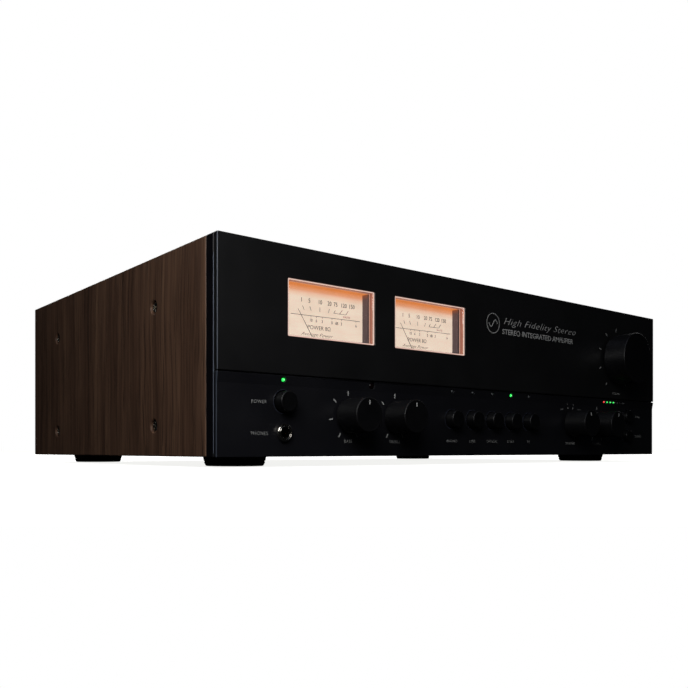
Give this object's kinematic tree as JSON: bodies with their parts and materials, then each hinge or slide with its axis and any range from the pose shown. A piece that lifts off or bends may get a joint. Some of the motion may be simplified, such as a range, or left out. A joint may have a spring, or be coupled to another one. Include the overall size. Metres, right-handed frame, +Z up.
{
  "type": "integrated amplifier",
  "caption": "Stereo integrated amplifier with a wood sleeve, black metal fascia, backlit needle meters, rotary controls, push buttons and recessed rear terminals.",
  "frame": {"origin": "middle of the bounding box's base, on the surface that the feet stand on", "axes": "+X to the right as seen from the front, the fascia faces -Y, +Z up"},
  "size_m": [0.465, 0.319, 0.13],
  "materials": {
    "walnut_veneer": "satin walnut veneer, vertical grain",
    "black_anodised_aluminium": "fine-blasted, black anodised",
    "black_turned_aluminium": "turned, black anodised",
    "black_painted_steel": "fine-textured black powder coat",
    "black_moulded_plastic": "moulded, fine spark texture",
    "grey_moulded_plastic": "moulded, matte",
    "black_knob_plastic": "moulded, satin",
    "black_button_plastic": "moulded, satin to gloss",
    "clear_acrylic": "polished clear acrylic",
    "smoked_acrylic": "polished dark infrared filter",
    "printed_dial_card": "warm cream card, backlit",
    "needle_black": "thin tube, painted matte black",
    "nickel_plate": "bright nickel plate",
    "zinc_plated_steel": "bright zinc plate",
    "gold_plated_brass": "gold plate",
    "gold_plated_sockets": "gold plated sockets on a circuit board",
    "black_rubber": "moulded, matte",
    "circuit_board": "glass-fibre board with green solder mask",
    "bare_aluminium": "extruded, mill finish",
    "taped_winding": "ring core wound with wire and wrapped in amber tape"
  },
  "bodies": {
    "case": {"wood_sleeve": "walnut_veneer", "top_grille": "black_painted_steel", "chassis_tray": "black_painted_steel", "rear_panel": "black_painted_steel", "fascia_frame": "black_moulded_plastic", "fascia_upper": "black_anodised_aluminium", "fascia_lower": "black_anodised_aluminium", "indicator_light_guide": "clear_acrylic", "remote_sensor_window": "smoked_acrylic", "phone_jack": "nickel_plate", "phone_jack_nut": "nickel_plate", "control_board": "circuit_board", "binding_post_block": "black_moulded_plastic", "input_socket_board": "gold_plated_sockets", "mains_inlet": "black_moulded_plastic", "main_board": "circuit_board", "heat_sink": "bare_aluminium", "power_transformer": "taped_winding", "side_screw_left_1": "zinc_plated_steel", "side_screw_left_2": "zinc_plated_steel", "side_screw_left_3": "zinc_plated_steel", "side_screw_left_4": "zinc_plated_steel", "foot_front_left": "black_rubber", "foot_rear_left": "black_rubber", "meter_left_housing": "grey_moulded_plastic", "meter_left_dial": "printed_dial_card", "meter_left_lens": "clear_acrylic", "side_screw_right_1": "zinc_plated_steel", "side_screw_right_2": "zinc_plated_steel", "side_screw_right_3": "zinc_plated_steel", "side_screw_right_4": "zinc_plated_steel", "foot_front_right": "black_rubber", "foot_rear_right": "black_rubber", "meter_right_housing": "grey_moulded_plastic", "meter_right_dial": "printed_dial_card", "meter_right_lens": "clear_acrylic"},
    "volume": {"volume_knob": "black_turned_aluminium"},
    "bass": {"bass_knob": "black_knob_plastic"},
    "treble": {"treble_knob": "black_knob_plastic"},
    "speaker_selector": {"speaker_selector_knob": "black_knob_plastic"},
    "balance": {"balance_knob": "black_knob_plastic"},
    "power_push": {"power_button": "black_button_plastic"},
    "source_push_1": {"source_button_1": "black_button_plastic"},
    "source_push_2": {"source_button_2": "black_button_plastic"},
    "source_push_3": {"source_button_3": "black_button_plastic"},
    "source_push_4": {"source_button_4": "black_button_plastic"},
    "source_push_5": {"source_button_5": "black_button_plastic"},
    "output_push_upper": {"output_button_upper": "black_button_plastic"},
    "output_push_lower": {"output_button_lower": "black_button_plastic"},
    "meter_left_movement": {"meter_left_needle": "needle_black"},
    "meter_right_movement": {"meter_right_needle": "needle_black"},
    "post_cap_1": {"binding_post_cap_1": "gold_plated_brass"},
    "post_cap_2": {"binding_post_cap_2": "gold_plated_brass"},
    "post_cap_3": {"binding_post_cap_3": "gold_plated_brass"},
    "post_cap_4": {"binding_post_cap_4": "gold_plated_brass"},
    "post_cap_5": {"binding_post_cap_5": "gold_plated_brass"},
    "post_cap_6": {"binding_post_cap_6": "gold_plated_brass"},
    "post_cap_7": {"binding_post_cap_7": "gold_plated_brass"},
    "post_cap_8": {"binding_post_cap_8": "gold_plated_brass"},
    "ground_clamp": {"ground_nut": "nickel_plate"}
  },
  "joints": [
    {"name": "volume_turn", "type": "hinge", "parent": "case", "child": "volume", "pos_m": [0.1695, -0.1395, 0.0876], "axis": [0, 1, 0], "continuous": true},
    {"name": "bass_turn", "type": "hinge", "parent": "case", "child": "bass", "pos_m": [-0.137, -0.1395, 0.0312], "axis": [0, 1, 0], "range_deg": [-150, 150]},
    {"name": "treble_turn", "type": "hinge", "parent": "case", "child": "treble", "pos_m": [-0.0965, -0.1395, 0.0312], "axis": [0, 1, 0], "range_deg": [-150, 150]},
    {"name": "speaker_selector_turn", "type": "hinge", "parent": "case", "child": "speaker_selector", "pos_m": [0.1025, -0.1395, 0.0312], "axis": [0, 1, 0], "range_deg": [-31, 61]},
    {"name": "balance_turn", "type": "hinge", "parent": "case", "child": "balance", "pos_m": [0.141, -0.1395, 0.0312], "axis": [0, 1, 0], "range_deg": [-150, 150]},
    {"name": "power_press", "type": "slide", "parent": "case", "child": "power_push", "axis": [0, 1, 0], "range_m": [0, 0.0022], "stiffness_N_per_m": 400},
    {"name": "source_1_press", "type": "slide", "parent": "case", "child": "source_push_1", "axis": [0, 1, 0], "range_m": [0, 0.0022], "stiffness_N_per_m": 400},
    {"name": "source_2_press", "type": "slide", "parent": "case", "child": "source_push_2", "axis": [0, 1, 0], "range_m": [0, 0.0022], "stiffness_N_per_m": 400},
    {"name": "source_3_press", "type": "slide", "parent": "case", "child": "source_push_3", "axis": [0, 1, 0], "range_m": [0, 0.0022], "stiffness_N_per_m": 400},
    {"name": "source_4_press", "type": "slide", "parent": "case", "child": "source_push_4", "axis": [0, 1, 0], "range_m": [0, 0.0022], "stiffness_N_per_m": 400},
    {"name": "source_5_press", "type": "slide", "parent": "case", "child": "source_push_5", "axis": [0, 1, 0], "range_m": [0, 0.0022], "stiffness_N_per_m": 400},
    {"name": "output_upper_press", "type": "slide", "parent": "case", "child": "output_push_upper", "axis": [0, 1, 0], "range_m": [0, 0.0022], "stiffness_N_per_m": 400},
    {"name": "output_lower_press", "type": "slide", "parent": "case", "child": "output_push_lower", "axis": [0, 1, 0], "range_m": [0, 0.0022], "stiffness_N_per_m": 400},
    {"name": "meter_left_swing", "type": "hinge", "parent": "case", "child": "meter_left_movement", "pos_m": [-0.1496, -0.1395, 0.0672], "axis": [0, 1, 0], "range_deg": [0, 68], "stiffness_Nm_per_rad": 0.0002},
    {"name": "meter_right_swing", "type": "hinge", "parent": "case", "child": "meter_right_movement", "pos_m": [-0.0625, -0.1395, 0.0672], "axis": [0, 1, 0], "range_deg": [0, 68], "stiffness_Nm_per_rad": 0.0002},
    {"name": "post_cap_1_turn", "type": "hinge", "parent": "case", "child": "post_cap_1", "pos_m": [-0.1005, 0.1455, 0.046], "axis": [0, 1, 0], "continuous": true},
    {"name": "post_cap_2_turn", "type": "hinge", "parent": "case", "child": "post_cap_2", "pos_m": [-0.0725, 0.1455, 0.046], "axis": [0, 1, 0], "continuous": true},
    {"name": "post_cap_3_turn", "type": "hinge", "parent": "case", "child": "post_cap_3", "pos_m": [-0.0445, 0.1455, 0.046], "axis": [0, 1, 0], "continuous": true},
    {"name": "post_cap_4_turn", "type": "hinge", "parent": "case", "child": "post_cap_4", "pos_m": [-0.0165, 0.1455, 0.046], "axis": [0, 1, 0], "continuous": true},
    {"name": "post_cap_5_turn", "type": "hinge", "parent": "case", "child": "post_cap_5", "pos_m": [-0.1005, 0.1455, 0.078], "axis": [0, 1, 0], "continuous": true},
    {"name": "post_cap_6_turn", "type": "hinge", "parent": "case", "child": "post_cap_6", "pos_m": [-0.0725, 0.1455, 0.078], "axis": [0, 1, 0], "continuous": true},
    {"name": "post_cap_7_turn", "type": "hinge", "parent": "case", "child": "post_cap_7", "pos_m": [-0.0445, 0.1455, 0.078], "axis": [0, 1, 0], "continuous": true},
    {"name": "post_cap_8_turn", "type": "hinge", "parent": "case", "child": "post_cap_8", "pos_m": [-0.0165, 0.1455, 0.078], "axis": [0, 1, 0], "continuous": true},
    {"name": "ground_nut_turn", "type": "hinge", "parent": "case", "child": "ground_clamp", "pos_m": [0.0355, 0.1405, 0.028], "axis": [0, 1, 0], "continuous": true}
  ]
}
